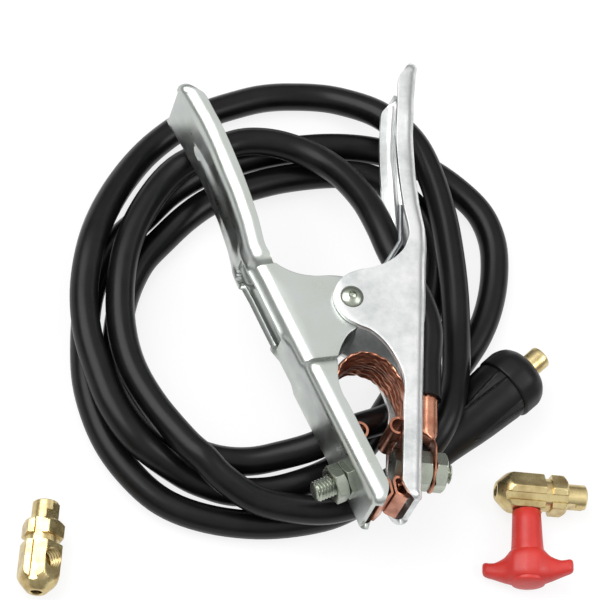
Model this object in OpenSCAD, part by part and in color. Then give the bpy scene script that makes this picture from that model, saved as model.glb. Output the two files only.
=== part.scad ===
// Welding earth clamp with a coiled cable, a bayonet plug and two brass adapters.
// The clamp lies on its side on its cable. Millimetres, Z up.

/* [Arms] */
// Thickness of the pressed steel sheet
sheet = 2.2; // [1.5:0.1:3]
// Height of the lower face of the arms
arm_low = 24.3; // [24.3:0.1:30]
// Width of the pressed channel
arm_width = 25; // [20:1:32]
// Half width of the spoon at the handle end
spoon_half = 14; // [12.5:0.5:14]
// Depth by which the left ears are set inward
joggle = 2.5; // [2.4:0.1:4]
// Height of the cable window in the right arm
window_height = 14; // [12:1:18]

/* [Pivot] */
// Radius of the pivot rivet
rivet_r = 3; // [2.5:0.25:4]
// Diameter of the rivet's domed head
rivet_head_d = 9.8; // [8:0.2:14]
// Outside diameter of the bush on the rivet
bush_d = 9; // [8:0.25:9.25]
// Wire diameter of the torsion spring
wire_d = 2.2; // [1.6:0.1:2.4]
// Mean radius of the spring's coil
spring_r = 6.1; // [6:0.1:8]

/* [Jaw fittings] */
// Distance of the bolts from the pivot along the arms
bolt_y = -65; // [-70:1:-58]
// Radius of the bolt thread
stud_r = 4; // [3:0.5:5]
// Hexagon width over the flats
hex_af = 13; // [10:0.5:17]
// Thickness of the copper shoes
shoe_t = 0.9; // [0.6:0.1:1.5]

/* [Cable] */
// Outside diameter of the cable
cable_d = 11; // [8:0.5:11]

/* [Plug] */
// Diameter of the boot at its widest
boot_d = 24; // [20:1:28]
// Diameter of the collar
collar_d = 26; // [24:1:32]
// Diameter of the plug's brass pin
pin_d = 9; // [8:0.5:13]

/* [Adapters] */
// Diameter of the brass body
brass_d = 16; // [14:0.5:22]
// Diameter of the nose pin
nose_d = 10; // [9:0.5:13]
// Radius of the threaded side hole
side_hole_r = 4; // [3:0.25:5]
// Span of the wings of the knob
knob_span = 35; // [28:1:42]

/* [Show] */
// Node to build

/* [Hidden] */
$fn = 48;
pivot_at = [23.8, 6.6, 0];
arm_high = arm_low + arm_width;
mid = (arm_low + arm_high) / 2;
shoe_w = arm_width - 2 * sheet - 0.6; // copper shoes and braid, between the flanges
zinc = [0.73, 0.74, 0.75];
copper = [0.80, 0.47, 0.33];
brass = [0.80, 0.66, 0.36];
black = [0.06, 0.06, 0.065];
red = [0.75, 0.10, 0.08];
slope = 0.25;
web_dir = [slope, 1, 0] / norm([slope, 1]);
web_out = [1, -slope, 0] / norm([1, slope]);
bolt_at = [7 + slope * (bolt_y + 80.5), bolt_y, mid];

// outer line of the right web, from the jaw end to the handle end
web_line = [[7, -80.5], [27.5, 1.5], [30, 12], [32, 19], [33.4, 26], [33.6, 36], [34.8, 48],
    [37.8, 66], [41.2, 80], [45.6, 94]];
// inner edge of the right flanges, from the handle back to the jaw end
flange_edge = [[44.9, 93.4], [40.4, 90.7], [38.4, 88.3], [36.6, 81.8], [34.2, 73], [31.7, 62], [29.7, 48.5],
    [28.5, 36], [28.2, 25], [26.5, 20.5], [23.5, 16.5], [18, 13], [12, 11.2], [5, 10.5],
    [0, 9.2], [-3.8, 6.5], [-6.5, 2], [-6.5, -3], [-4, -8], [0.3, -11.5], [4.3, -14],
    [8.3, -19.1], [11, -25.5], [12.4, -32], [12, -38], [10.3, -43.8], [3.6, -70.5],
    [2.9, -74.5], [4, -78], [6.2, -80]];

// side steps from one point of a line to its neighbours
function side(l, i) = let (d = i == 0 ? l[1] - l[0] : i == len(l) - 1 ? l[i] - l[i - 1]
    : (l[i + 1] - l[i]) / norm(l[i + 1] - l[i]) + (l[i] - l[i - 1]) / norm(l[i] - l[i - 1]))
    [-d[1], d[0]] / norm(d);
function shifted(l, by) = [for (i = [0 : len(l) - 1]) l[i] + by * side(l, i)];
function back(l) = [for (i = [len(l) - 1 : -1 : 0]) l[i]];

// a smooth way through given points: p at place u
function at(p, i) = i < 0 ? 2 * p[0] - p[1]
    : i >= len(p) ? 2 * p[len(p) - 1] - p[len(p) - 2] : p[i];
function way(p, u) = let (i = min(floor(u), len(p) - 2), t = u - i,
    a = at(p, i - 1), b = at(p, i), c = at(p, i + 1), d = at(p, i + 2))
    0.5 * (2 * b + (c - a) * t + (2 * a - 5 * b + 4 * c - d) * t * t
    + (3 * b - a - 3 * c + d) * t * t * t);

// frames carried along a list of points, so that a tube doesn't twist
function unit(v) = v / norm(v);
function ahead(c, i) = unit(c[min(i + 1, len(c) - 1)] - c[max(i - 1, 0)]);
function square_to(t, v) = unit(v - (v * t) * t);
function frames(c, up) = [for (i = 0, s = square_to(ahead(c, 0), up); i < len(c);
    i = i + 1, s = i < len(c) ? square_to(ahead(c, i), s) : s) s];

// one closed tube with n sides through the points c from first to last
module tube(c, r, n = 6, up = [0, 0, 1], first = 0, end = -1) {
    f = frames(c, up);
    last = (end < 0 ? len(c) - 1 : end) - first;
    points = [for (i = [first : first + last]) let (t = ahead(c, i), u = f[i], v = cross(t, u))
        for (k = [0 : n - 1]) c[i] + r * (cos(360 * k / n) * u + sin(360 * k / n) * v)];
    faces = concat(
        [for (k = [1 : n - 2]) [0, k, k + 1]],
        [for (k = [1 : n - 2]) [last * n, last * n + k + 1, last * n + k]],
        [for (i = [0 : last - 1], k = [0 : n - 1]) let (k2 = (k + 1) % n)
            [i * n + k, (i + 1) * n + k, i * n + k2]],
        [for (i = [0 : last - 1], k = [0 : n - 1]) let (k2 = (k + 1) % n)
            [(i + 1) * n + k, (i + 1) * n + k2, i * n + k2]]);
    polyhedron(points, faces);
}

module placed() { translate(pivot_at) children(); }

// a cylinder from one point towards another, r1 at the start and r2 at the end
module rod(from, dir, length, r1, r2 = -1, fn = 48) {
    u = unit(dir);
    translate(from) rotate([0, acos(u[2]), atan2(u[1], u[0])])
        cylinder(h = length, r1 = r1, r2 = r2 < 0 ? r1 : r2, $fn = fn);
}

// ---- arms

module web(low, high) {
    outer = shifted(web_line, 0);
    inner = shifted(web_line, sheet);
    intersection() {
        translate([0, 0, low - 5]) linear_extrude(high - low + 10)
            polygon(concat(outer, back(inner)));
        // what the sheet looks like from the side
        rotate([90, 0, 90]) translate([0, 0, -60]) linear_extrude(160)
            polygon([[-78, low], [66, low], [75, mid - spoon_half + 0.4],
                [79, mid - spoon_half], [90.9, mid - spoon_half], [92.5, mid - spoon_half + 0.7],
                [93.3, mid - spoon_half + 2.2], [93.6, mid], [93.3, mid + spoon_half - 2.2],
                [92.5, mid + spoon_half - 0.7], [90.9, mid + spoon_half],
                [79, mid + spoon_half], [75, mid + spoon_half - 0.4], [66, high],
                [-78, high], [-79.5, high - 1.5], [-79.5, low + 1.5]]);
    }
}

function cut_line(l, y1, y2) = [for (p = l) if (p[1] >= y1 && p[1] <= y2) p];
// outline of the right flanges
flange_line = concat([[7.6, -78]], cut_line(web_line, -70, 84), [[45.28, 93]], flange_edge);

module flange(z) {
    translate([0, 0, z]) linear_extrude(sheet)
        polygon(flange_line);
}

// the cable window, pressed through the web beside the pivot
module window() {
    translate([18, -9, mid - 0.5 - window_height / 2]) cube([20, 34, window_height]);
}

// hole for a bolt, square to the web
module bolt_hole() { rod(bolt_at - 12 * web_out, web_out, 24, stud_r + 0.05); }

module right_arm() {
    color(zinc) placed() difference() {
        union() {
            web(arm_low, arm_high);
            flange(arm_low);
            flange(arm_high - sheet);
        }
        window();
        bolt_hole();
        translate([0, 0, arm_low - 1]) cylinder(h = arm_width + 2, r = rivet_r + 0.05);
    }
}

// the part of a flange between two heights along the arm
module flange_part(z, h, y1, y2) {
    intersection() {
        translate([0, 0, z - 20]) linear_extrude(60) polygon(flange_line);
        translate([-20, y1, z]) cube([80, y2 - y1, h]);
    }
}

module left_arm() {
    step_1 = -24;
    step_2 = 20;
    color(zinc) placed() mirror([1, 0, 0]) difference() {
        union() {
            difference() {
                web(arm_low, arm_high);
                for (z = [arm_low - 20, arm_high - joggle])
                    translate([10, step_1, z]) cube([30, step_2 - step_1, 20 + joggle]);
            }
            for (s = [0, 1]) {
                edge = s == 0 ? arm_low : arm_high - sheet;
                ear = s == 0 ? arm_low + joggle : arm_high - sheet - joggle;
                wall = s == 0 ? arm_low : ear;
                flange_part(edge, sheet, -90, step_1);
                flange_part(edge, sheet, step_2, 90);
                flange_part(ear, sheet, step_1 - sheet / 2, step_2 + sheet / 2);
                flange_part(wall, sheet + joggle, step_1 - sheet, step_1);
                flange_part(wall, sheet + joggle, step_2, step_2 + sheet);
            }
        }
        window();
        bolt_hole();
        translate([0, 0, arm_low - 1]) cylinder(h = arm_width + 2, r = rivet_r + 0.05);
    }
}

// ---- pivot

module pivot_rivet() {
    dome = 4;
    color(zinc) placed() difference() {
        rotate_extrude() polygon([[0, arm_low - 4], [3.8, arm_low - 4],
            [4.6, arm_low - 3], [4.6, arm_low - 1.2], [rivet_r, arm_low - 1.2],
            [rivet_r, arm_high], [rivet_head_d / 2, arm_high],
            [rivet_head_d / 2, arm_high + 0.9], [rivet_head_d / 2 - 0.6, arm_high + 2.1],
            [rivet_head_d / 2 - 1.7, arm_high + 3.2],
            [rivet_head_d / 2 - 3, arm_high + dome - 0.1], [0, arm_high + dome]]);
        translate([0, 0, arm_high + dome - 1.8]) cylinder(h = 3, r = 1.6);
    }
}

module rivet_washer() {
    color(zinc) placed() translate([0, 0, arm_low - 1.2]) difference() {
        cylinder(h = 1.2, r = 6);
        translate([0, 0, -1]) cylinder(h = 4, r = rivet_r);
    }
}

bush_low = arm_low + joggle + sheet + 0.3;
bush_high = arm_high - joggle - sheet - 0.3;

module pivot_bush() {
    color(zinc) placed() translate([0, 0, bush_low]) difference() {
        cylinder(h = bush_high - bush_low, r = bush_d / 2);
        translate([0, 0, -1]) cylinder(h = 40, r = rivet_r);
    }
}

// coil of the spring with a leg to each handle
spring_turns = 4.45;
spring_pitch = 2.65;
spring_low = bush_low + wire_d / 2 + 0.15;
spring_start = 200;
function coil_at(a) = [spring_r * cos(spring_start + a), spring_r * sin(spring_start + a),
    spring_low + spring_pitch * a / 360];
spring_end = spring_turns * 360;
spring_high = spring_low + spring_pitch * spring_turns;
spring_line = concat([[-30.2, 39, spring_low], [-27.2, 24, spring_low],
    [-11.5, 7, spring_low]],
    [for (i = [0 : 1 : 8 * spring_turns]) coil_at(i * 45)],
    [[11.5, 7, spring_high], [26.6, 24, spring_high], [30.2, 39, spring_high]]);

module torsion_spring() {
    color(zinc) placed() tube(spring_line, wire_d / 2, 6);
}

// ---- jaw fittings

module at_bolt(side) {
    mirror([side < 0 ? 1 : 0, 0, 0]) translate(bolt_at)
        multmatrix([[web_out[0], web_dir[0], 0, 0], [web_out[1], web_dir[1], 0, 0],
            [0, 0, 1, 0]]) children();
}

// a hexagon about the bolt's own axis, from w1 to w2 outward of the web
module hexagon(w1, w2) {
    translate([w1, 0, 0]) rotate([0, 90, 0])
        cylinder(h = w2 - w1, r = hex_af / sqrt(3), $fn = 6);
}

// copper strip flat on the inside of the jaw with both ends curled inward
module shoe(side) {
    w = -sheet - braid_t - 0.1;
    half = shoe_t / 2;
    curl = 3.4;
    // middle line: upper curl beside the braid, the flat strip, then a turn in and up to a ring
    line = concat(
        [for (a = [285 : -15 : 0])
            [w - curl + (curl - half) * cos(a), 12.8 + (curl - half) * sin(a)]],
        [[w - half, 9], [w - half, -13], [w - half, -14.2], [w - half - 0.5, -14.8],
            [w - half - 1.1, -14.85], [-6.5, -13.9], [-7.05, -13.3], [-7.36, -12.3],
            [-7.66, -11]],
        [for (a = [190 : -20 : -90]) [-6.45 + 1.55 * cos(a), -9.2 + 1.55 * sin(a)]]);
    color(copper) placed() difference() {
        at_bolt(side) translate([0, 0, -shoe_w / 2]) linear_extrude(shoe_w)
            polygon(concat(shifted(line, half), back(shifted(line, -half))));
        at_bolt(side) rotate([0, 90, 0]) translate([0, 0, -20]) cylinder(h = 40, r = stud_r);
    }
}

module right_shoe() { shoe(1); }
module left_shoe() { shoe(-1); }

braid_t = 1;
head_from = -sheet - shoe_t - braid_t - 0.1;
head_to = head_from - 2.6;

module stud(side, out) {
    color(zinc) placed() at_bolt(side) {
        hexagon(head_to, head_from);
        rotate([0, 90, 0]) translate([0, 0, head_from]) {
            cylinder(h = out - head_from - 1, r = stud_r);
            translate([0, 0, out - head_from - 1]) cylinder(h = 1, r1 = stud_r, r2 = 3.2);
        }
    }
}

module right_stud() { stud(1, 15.4); }
module left_stud() { stud(-1, 16.3); }

module nut(w1, w2) {
    difference() {
        hexagon(w1, w2);
        rotate([0, 90, 0]) translate([0, 0, w1 - 1]) cylinder(h = w2 - w1 + 2, r = stud_r);
    }
}

washer_t = 1.4;
palm_from = 7.6;
palm_t = 1;

module right_nuts() {
    color(zinc) placed() at_bolt(1) {
        nut(washer_t, palm_from);
        nut(palm_from + palm_t, palm_from + palm_t + 4.6);
    }
}

module left_nuts() {
    color(zinc) placed() at_bolt(-1) {
        nut(0, 4.6);
        nut(4.8, 9.4);
    }
}

module right_washer() {
    color(zinc) placed() at_bolt(1) rotate([0, 90, 0]) difference() {
        cylinder(h = washer_t, r = 8.2);
        translate([0, 0, -1]) cylinder(h = 4, r = stud_r);
    }
}

// flat woven strap that joins both shoes across the jaw
braid_w = -sheet - 0.05 - braid_t / 2;
function on_web(w, u) = [bolt_at[0], bolt_at[1]] + w * [web_out[0], web_out[1]]
    + u * [web_dir[0], web_dir[1]];
braid_path = [on_web(braid_w, -6.5), on_web(braid_w, 8), on_web(braid_w, 22), [13.9, -38.5],
    [13, -33], [10.6, -27.5], [7.4, -23.8], [3.5, -21.6], [0, -21]];

module braid() {
    full = concat(braid_path, [for (i = [len(braid_path) - 2 : -1 : 0])
        [-braid_path[i][0], braid_path[i][1]]]);
    a = shifted(full, braid_t / 2);
    b = shifted(full, -braid_t / 2);
    color(copper) placed() difference() {
        translate([0, 0, mid - shoe_w / 2]) linear_extrude(shoe_w) polygon(concat(a, back(b)));
        for (s = [-1, 1])
            at_bolt(s) rotate([0, 90, 0]) translate([0, 0, -20]) cylinder(h = 40, r = stud_r + 0.2);
    }
}

// crimp lug: palm on the bolt, barrel around the cable's end
barrel_from = 15.5;
barrel_to = 28.5;
barrel_r = 4;
barrel_at = 6.2; // from the web to the barrel's middle
strands_r = 3.3;
module barrel(from, length, r) {
    translate([barrel_at, from, 0]) rotate([-90, 0, 0]) cylinder(h = length, r = r);
}
module cable_lug() {
    color(copper) placed() at_bolt(1) difference() {
        union() {
            translate([palm_from, -8, -8]) cube([palm_t, 16, 16]);
            translate([palm_from, 7, -4.5]) cube([palm_t, 5, 9]);
            translate([palm_from, 11, -3.5]) cube([palm_t, 5.5, 7]);
            barrel(barrel_from, barrel_to - barrel_from, barrel_r);
        }
        rotate([0, 90, 0]) translate([0, 0, 0]) cylinder(h = 30, r = stud_r);
        barrel(barrel_from + 2, 30, strands_r);
    }
}

// bare copper strands between the cable's cover and the bottom of the barrel
module lug_strands() {
    color(copper) placed() at_bolt(1) barrel(barrel_from + 2, 12.2, strands_r);
}

// ---- cable

// points that the tail follows, from the lug through the window to under the arm
tail_points = [[24.4, -36.2, 36.8], [27.3, -23.8, 36.8], [30.9, -11, 36.8], [30.5, 1.5, 36.3],
    [28, 11.5, 35.5], [25, 24, 34], [23.5, 36.5, 32], [21.5, 50, 28], [17, 63.5, 22.8],
    [11, 73, 18.6], [3, 79.5, 17]];
// points that the coil follows, loop by loop
coil_points = [
    [-6.5, 83.5, 17], [-17, 85, 17], [-27, 83, 17], [-46, 76, 17], [-62, 60.5, 17],
    [-73, 42, 17], [-79, 20, 17], [-79.5, 0, 17], [-74.5, -18, 17.5], [-66, -36, 20],
    [-60.5, -44.5, 21.5], [-54, -53, 19.5], [-42, -62.5, 17], [-24, -68.5, 17],
    [-11, -69, 17], [1, -66, 17], [13, -60, 17.7], [23.5, -53, 22.5], [31, -45.5, 25.6],
    [37, -36, 25], [43.5, -21.5, 20.5], [48.5, -4.5, 17.5], [52, 12.5, 17], [54, 28, 17],
    [55, 43, 17], [54.5, 58.5, 17], [52, 72.5, 17.5], [48, 82.5, 16.5], [43, 90.5, 14],
    [38, 96, 12], [31, 101.5, 9], [22.5, 106, 6.5],
    [10.5, 108.5, 5.5], [-2.5, 109, 5.5], [-15.5, 107, 5.5], [-27.5, 104, 5.5],
    [-40.5, 98.5, 5.5], [-56.5, 87, 7], [-72, 69.5, 12], [-83.5, 51, 16.5], [-90.5, 32, 17],
    [-93, 15, 17.5], [-92, -1, 17], [-89, -18, 17], [-81.5, -33, 15.5], [-67, -44.5, 9],
    [-57.5, -50, 7], [-47.5, -53.5, 5.5], [-34, -55, 5.5], [-19, -53, 5.5],
    [-6.5, -49, 5.5], [5.5, -42, 5.5], [15, -31.5, 5.5], [24.5, -20.5, 5.5], [33, -8, 5.5],
    [41, 4.5, 5.5], [48, 18, 5.5], [52.5, 33, 5.5], [52, 46.5, 5.5], [47.5, 56.5, 5.5],
    [41, 64.5, 5.5], [31.5, 70.5, 5.5], [18, 73, 5.5],
    [0, 73, 5.5], [-15, 71, 5.5], [-31, 67, 5.5], [-42.5, 61, 5.5], [-54, 52.5, 5.5],
    [-64.5, 43.5, 5.5], [-73, 31, 5.5], [-79, 16, 5.5], [-81.5, 1, 5.5], [-79, -13, 5.5],
    [-72, -25.5, 5.5], [-62.5, -34, 5.5], [-51, -40, 5.5], [-39, -42.5, 6],
    [-27, -42.5, 8.5], [-17, -42, 11.5], [-8, -40.5, 15], [1.5, -38.5, 17],
    [12, -36.5, 17], [22, -33, 16.5], [31.5, -29, 12.5], [41, -22.5, 8.5], [52, -12.5, 6],
    [62, -1.5, 5.5], [69.5, 11, 5.5], [74.5, 24.5, 5.5], [76.5, 37, 5.5], [74.5, 49, 5.5],
    [68, 59.5, 5.5], [58.5, 69.5, 5.5], [47, 77.5, 5.5], [34, 82.5, 5.5], [18, 85, 5.5],
    [0, 85, 5.5], [-16, 83, 5.5], [-33, 79, 5.5], [-47.5, 72, 5.5], [-60.5, 62, 5.5],
    [-71.5, 54, 5.5], [-79.5, 45.5, 5.5], [-87.5, 30.5, 5.5], [-92.5, 12, 5.5],
    [-94.5, -6, 5.5], [-92, -25, 5.5], [-85.5, -40.5, 5.5], [-75, -54, 5.5],
    [-59, -63, 5.5], [-38.5, -68, 5.5], [-17, -68, 5.5], [-2, -64, 5.5], [11, -58.5, 6.5],
    [19.8, -54.5, 8.6], [27.6, -50.2, 9.5]];
cable_points = concat(tail_points, coil_points);
tail_rings = 16;
coil_rings = 96;
meet = len(tail_points) - 0.5;
function cable_at(u) = let (p = way(cable_points, u)) [p[0], p[1], max(p[2], cable_d / 2)];
tail_line = [for (i = [0 : tail_rings - 1]) cable_at(meet * i / (tail_rings - 1))];
coil_line = [for (i = [0 : coil_rings - 1])
    cable_at(meet + (len(cable_points) - 1 - meet) * i / (coil_rings - 1))];

cable_line = concat(tail_line, [for (i = [1 : coil_rings - 1]) coil_line[i]]);

// least gap of the cable to itself, measured between points 4 mm apart on its middle line
fine = [for (l = [tail_line, coil_line], i = [0 : len(l) - 2], k = [0 : 4])
    l[i] + (l[i + 1] - l[i]) * k / 5];
gap_skip = 13;
least_gap = min([for (i = [0 : len(fine) - gap_skip - 1], j = [i + gap_skip : len(fine) - 1])
    norm(fine[i] - fine[j])]) - cable_d;
function run(l) = [for (i = 0, s = 0; i < len(l); i = i + 1,
    s = i < len(l) ? s + norm(l[i] - l[i - 1]) : s) s][len(l) - 1];
echo(least_gap = least_gap, tail_length = run(tail_line), coil_length = run(coil_line));

module cable_tail() {
    color(black) placed() tube(cable_line, cable_d / 2, 6, [0, 0, 1], 0, tail_rings - 1);
}

module cable_coil() {
    color(black) placed() tube(cable_line, cable_d / 2, 6, [0, 0, 1], tail_rings - 1);
}

// ---- plug at the cable's end

plug_from = [27.6, -50.2, 9.5];
plug_dir = unit([0.85, 0.517, 0.1]);
module at_plug() {
    // x along the plug's axis
    u = plug_dir;
    s = unit([-u[1], u[0], 0]);
    n = cross(u, s);
    translate(plug_from) multmatrix([[u[0], s[0], n[0], 0], [u[1], s[1], n[1], 0],
        [u[2], s[2], n[2], 0]]) rotate([0, 90, 0]) children();
}

boot_l = 41;
collar_l = 13.2;
module plug_boot() {
    color(black) placed() at_plug() difference() {
        rotate_extrude() polygon([[0, 0], [8, 0], [8.5, 0.8], [8.9, 8], [10, 20],
            [boot_d / 2 - 0.4, 33], [boot_d / 2, 38], [boot_d / 2, boot_l], [0, boot_l]]);
        // room for the cable's end, the sleeve and the back of the pin
        translate([0, 0, -1]) cylinder(h = 60, r = 6.4);
    }
}

module plug_collar() {
    r = collar_d / 2;
    color(black) placed() at_plug() translate([0, 0, boot_l]) difference() {
        rotate_extrude() polygon([[0, 0], [r - 0.7, 0], [r, 0.8], [r, 6.6], [r - 0.8, 9],
            [r - 2.5, 11.2], [r - 4.9, 12.7], [r - 6.2, collar_l], [0, collar_l]]);
        translate([0, 0, -1]) cylinder(h = 12, r = 6.4);
        // mouth around the pin
        cylinder(h = 60, r = 5);
    }
}

// soft copper sleeve around the bared end of the cable
module plug_sleeve() {
    color(copper) placed() at_plug() translate([0, 0, 0.6]) cylinder(h = 25.4, r = 5.5);
}

module plug_pin() {
    r = pin_d / 2;
    front = boot_l + collar_l;
    color(brass) placed() at_plug() difference() {
        union() {
            translate([0, 0, 26]) cylinder(h = boot_l + 11 - 26, r = 6.4);
            translate([0, 0, boot_l + 11]) cylinder(h = collar_l - 11, r = 5);
            translate([0, 0, front]) cylinder(h = 7.2, r = r);
            translate([0, 0, front + 7.2]) cylinder(h = 0.7, r1 = r, r2 = r - 0.7);
        }
        // hole of the clamp screw
        translate([0, 0, 33]) rotate([90, 0, 0]) cylinder(h = 20, r = 2.5);
    }
}

module clamp_screw() {
    color(zinc) placed() at_plug() translate([0, 0, 33]) rotate([90, 0, 0])
        difference() {
            cylinder(h = 5.7, r = 2.5);
            translate([0, 0, 3.8]) cylinder(h = 4, r = 1.3, $fn = 6);
        }
}

// ---- brass adapters

adapter_l = 35;
side_at = 12;
brass_af = 14;
module adapter_body(with_hole) {
    r = brass_d / 2;
    nose = nose_d / 2;
    difference() {
        union() {
            // hexagon bar with turned ends and a turned groove
            intersection() {
                cylinder(h = adapter_l, r = brass_af / sqrt(3), $fn = 6);
                rotate_extrude() polygon([[0, 0], [3.5, 0], [r, 4.5], [r, 18.2],
                    [6.3, 18.2], [6.3, 21], [r, 21], [r, 25.8], [r - 1.4, 27.2], [0, 27.2]]);
            }
            rotate_extrude() polygon([[0, 20], [nose, 20], [nose, adapter_l - 0.6],
                [nose - 0.6, adapter_l], [0, adapter_l]]);
        }
        // shallow channel along one flat
        rotate([0, 0, -60]) translate([-1.6, 6.1, -1]) cube([3.2, 5, 28.2]);
        // bore of the tip
        translate([0, 0, -1]) cylinder(h = 10, r = 2.1);
        // threaded hole from the side
        translate([0, 0, side_at]) rotate([-90, 0, 0]) cylinder(h = 20, r = side_hole_r);
        // bayonet slot of the nose: across at its root, then out to its end
        translate([-6, nose - 1.1, 27.2]) cube([12, 5, 3.8]);
        translate([-3.3, nose - 1.1, 30]) cube([4.4, 5, 8]);
    }
}

// local z along the adapter from tip to nose; local y is the way out of the side hole
plain_mid = [-123.4, -66.3, 7.95];
plain_dir = unit([0.2813, 0.9596, 0]);
clamp_tip = [51.6, -67.3, brass_d / 2];
clamp_dir = unit([0.9752, -0.2213, 0]);

module at_adapter(from, dir, out) {
    x = cross(out, dir);
    translate(from) multmatrix([[x[0], out[0], dir[0], 0], [x[1], out[1], dir[1], 0],
        [x[2], out[2], dir[2], 0]]) children();
}

// the hole faces up and to the side
plain_out = unit([0.9596 * 0.629, -0.2813 * 0.629, 0.777]);
module adapter_plain() {
    color(brass) placed() at_adapter(plain_mid - plain_dir * adapter_l / 2, plain_dir,
        plain_out) adapter_body(true);
}

// the knob's stem points down the floor, square to the adapter
clamp_out = unit([-0.2213, -0.9752, 0]);
module at_clamp_adapter() { at_adapter(clamp_tip, clamp_dir, clamp_out) children(); }

module adapter_clamp() {
    color(brass) placed() at_clamp_adapter() adapter_body(true);
}

module at_side_hole() {
    at_clamp_adapter() translate([0, 0, side_at]) rotate([-90, 0, 0]) children();
}

// the screw stops short of the tip's bore, so that a rod can still enter
screw_from = 2.6;
screw_to = 22.6;
module knob_screw() {
    color(zinc) placed() at_side_hole() translate([0, 0, screw_from])
        difference() {
            cylinder(h = screw_to - screw_from, r = side_hole_r - 0.05);
            translate([0, 0, -0.1]) cylinder(h = 0.6, r = 1);
        }
}

stem_from = brass_af / 2 + 0.35;
hub_from = stem_from + 17;
module wing_knob() {
    half = knob_span / 2;
    color(red) placed() at_side_hole() difference() {
        union() {
            translate([0, 0, stem_from]) cylinder(h = 18, r1 = 5.4, r2 = 6.1);
            translate([0, 0, hub_from]) cylinder(h = 1.6, r1 = 6.1, r2 = 7.4);
            translate([0, 0, hub_from + 1.6]) cylinder(h = 8.4, r = 7.6);
            translate([0, 0, hub_from + 10]) cylinder(h = 1.9, r1 = 7.6, r2 = 6.1);
            // two wings, thinner towards their tips in both views
            rotate([0, 0, 110]) intersection() {
                translate([0, 0, hub_from]) linear_extrude(12) polygon([for (s = [1, -1])
                    each [for (p = [[half - 1, -1.9], [half, -0.9], [half, 0.9],
                        [half - 1, 1.9], [12, 2.6], [8, 4], [5, 5.6]]) s * p]]);
                rotate([90, 0, 0]) translate([0, hub_from, -8]) linear_extrude(16)
                    polygon([[half, 3.7], [13, 3], [10, 2.2], [7.5, 0.8], [-7.5, 0.8],
                        [-10, 2.2], [-13, 3], [-half, 3.7], [-half, 8.9], [-13, 9.7],
                        [-10, 10.8], [-6, 11.9], [6, 11.9], [10, 10.8], [13, 9.7],
                        [half, 8.9]]);
            }
        }
        translate([0, 0, -1]) cylinder(h = screw_to + 1, r = side_hole_r - 0.05);
    }
}

right_arm();
left_arm();
pivot_rivet();
rivet_washer();
pivot_bush();
torsion_spring();
right_shoe();
left_shoe();
right_stud();
left_stud();
right_nuts();
left_nuts();
right_washer();
braid();
cable_lug();
lug_strands();
cable_tail();
cable_coil();
plug_boot();
plug_collar();
plug_pin();
plug_sleeve();
clamp_screw();
adapter_plain();
adapter_clamp();
knob_screw();
wing_knob();
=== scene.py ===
import math
import bmesh
import bpy
from mathutils import Matrix, Vector


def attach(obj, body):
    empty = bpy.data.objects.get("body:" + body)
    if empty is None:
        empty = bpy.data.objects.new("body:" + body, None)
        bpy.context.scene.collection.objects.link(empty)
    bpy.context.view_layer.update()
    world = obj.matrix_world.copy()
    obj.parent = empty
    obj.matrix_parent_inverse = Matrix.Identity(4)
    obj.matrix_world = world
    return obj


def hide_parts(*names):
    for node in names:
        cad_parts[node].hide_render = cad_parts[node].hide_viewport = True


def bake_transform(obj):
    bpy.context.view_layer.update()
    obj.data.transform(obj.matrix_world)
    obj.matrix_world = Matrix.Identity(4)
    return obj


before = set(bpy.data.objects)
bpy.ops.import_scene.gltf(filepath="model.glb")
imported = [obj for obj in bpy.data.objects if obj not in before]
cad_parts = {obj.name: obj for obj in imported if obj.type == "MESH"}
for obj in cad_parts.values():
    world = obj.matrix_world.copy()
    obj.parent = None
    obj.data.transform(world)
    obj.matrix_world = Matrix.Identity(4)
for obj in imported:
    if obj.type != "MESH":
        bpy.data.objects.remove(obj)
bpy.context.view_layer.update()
print("stage: frame loaded")

# lengths below are in mm from the clamp's pivot; toRow gives the row's metres
pivotAt = Vector((23.8, 6.6, 0))
mid = 36.8            # height of the arms' middle
sheetT = 2.2


def toRow(p):
    return (Vector(p) + pivotAt) / 1000


def unit(v):
    return Vector(v).normalized()


# camera

camera = {"aim": (1.8, 1.5, 50), "azimuth": -36.8, "elevation": 61.5, "roll": 27.0,
          "distance": 1150, "focalPx": 3105, "aimPx": (355, 294), "frame": 600, "sensor": 36}


def makeCamera(c):
    a, e, r = (math.radians(c[k]) for k in ("azimuth", "elevation", "roll"))
    back = Vector((math.sin(a) * math.cos(e), -math.cos(a) * math.cos(e), math.sin(e)))
    right = Vector((math.cos(a), math.sin(a), 0))
    up = back.cross(right)
    # the same eye, turned so that the frame's middle needs no shift
    rolled = Matrix.Rotation(r, 3, back)
    right, up = rolled @ right, rolled @ up
    px = (c["frame"] / 2 - c["aimPx"][0]) / c["focalPx"]
    py = (c["aimPx"][1] - c["frame"] / 2) / c["focalPx"]
    look = (-back + px * right + py * up).normalized()
    newRight = look.cross(up).normalized()
    newUp = newRight.cross(look)
    data = bpy.data.cameras.new("photoCamera")
    data.sensor_width = c["sensor"]
    data.sensor_fit = "HORIZONTAL"
    data.lens = c["sensor"] * c["focalPx"] / c["frame"]
    data.clip_end = 20
    obj = bpy.data.objects.new("photoCamera", data)
    eye = toRow(Vector(c["aim"]) + back * c["distance"])
    turn = Matrix((newRight, newUp, -look)).transposed()
    obj.matrix_world = Matrix.Translation(eye) @ turn.to_4x4()
    bpy.context.scene.collection.objects.link(obj)
    bpy.context.scene.camera = obj


makeCamera(camera)
print("stage: camera")


# materials

def hexColour(text):
    # sRGB hex to the linear values that Blender's sockets take
    parts = [int(text[i:i + 2], 16) / 255 for i in (1, 3, 5)]
    return [v / 12.92 if v <= 0.04045 else ((v + 0.055) / 1.055) ** 2.4 for v in parts] + [1]


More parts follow.
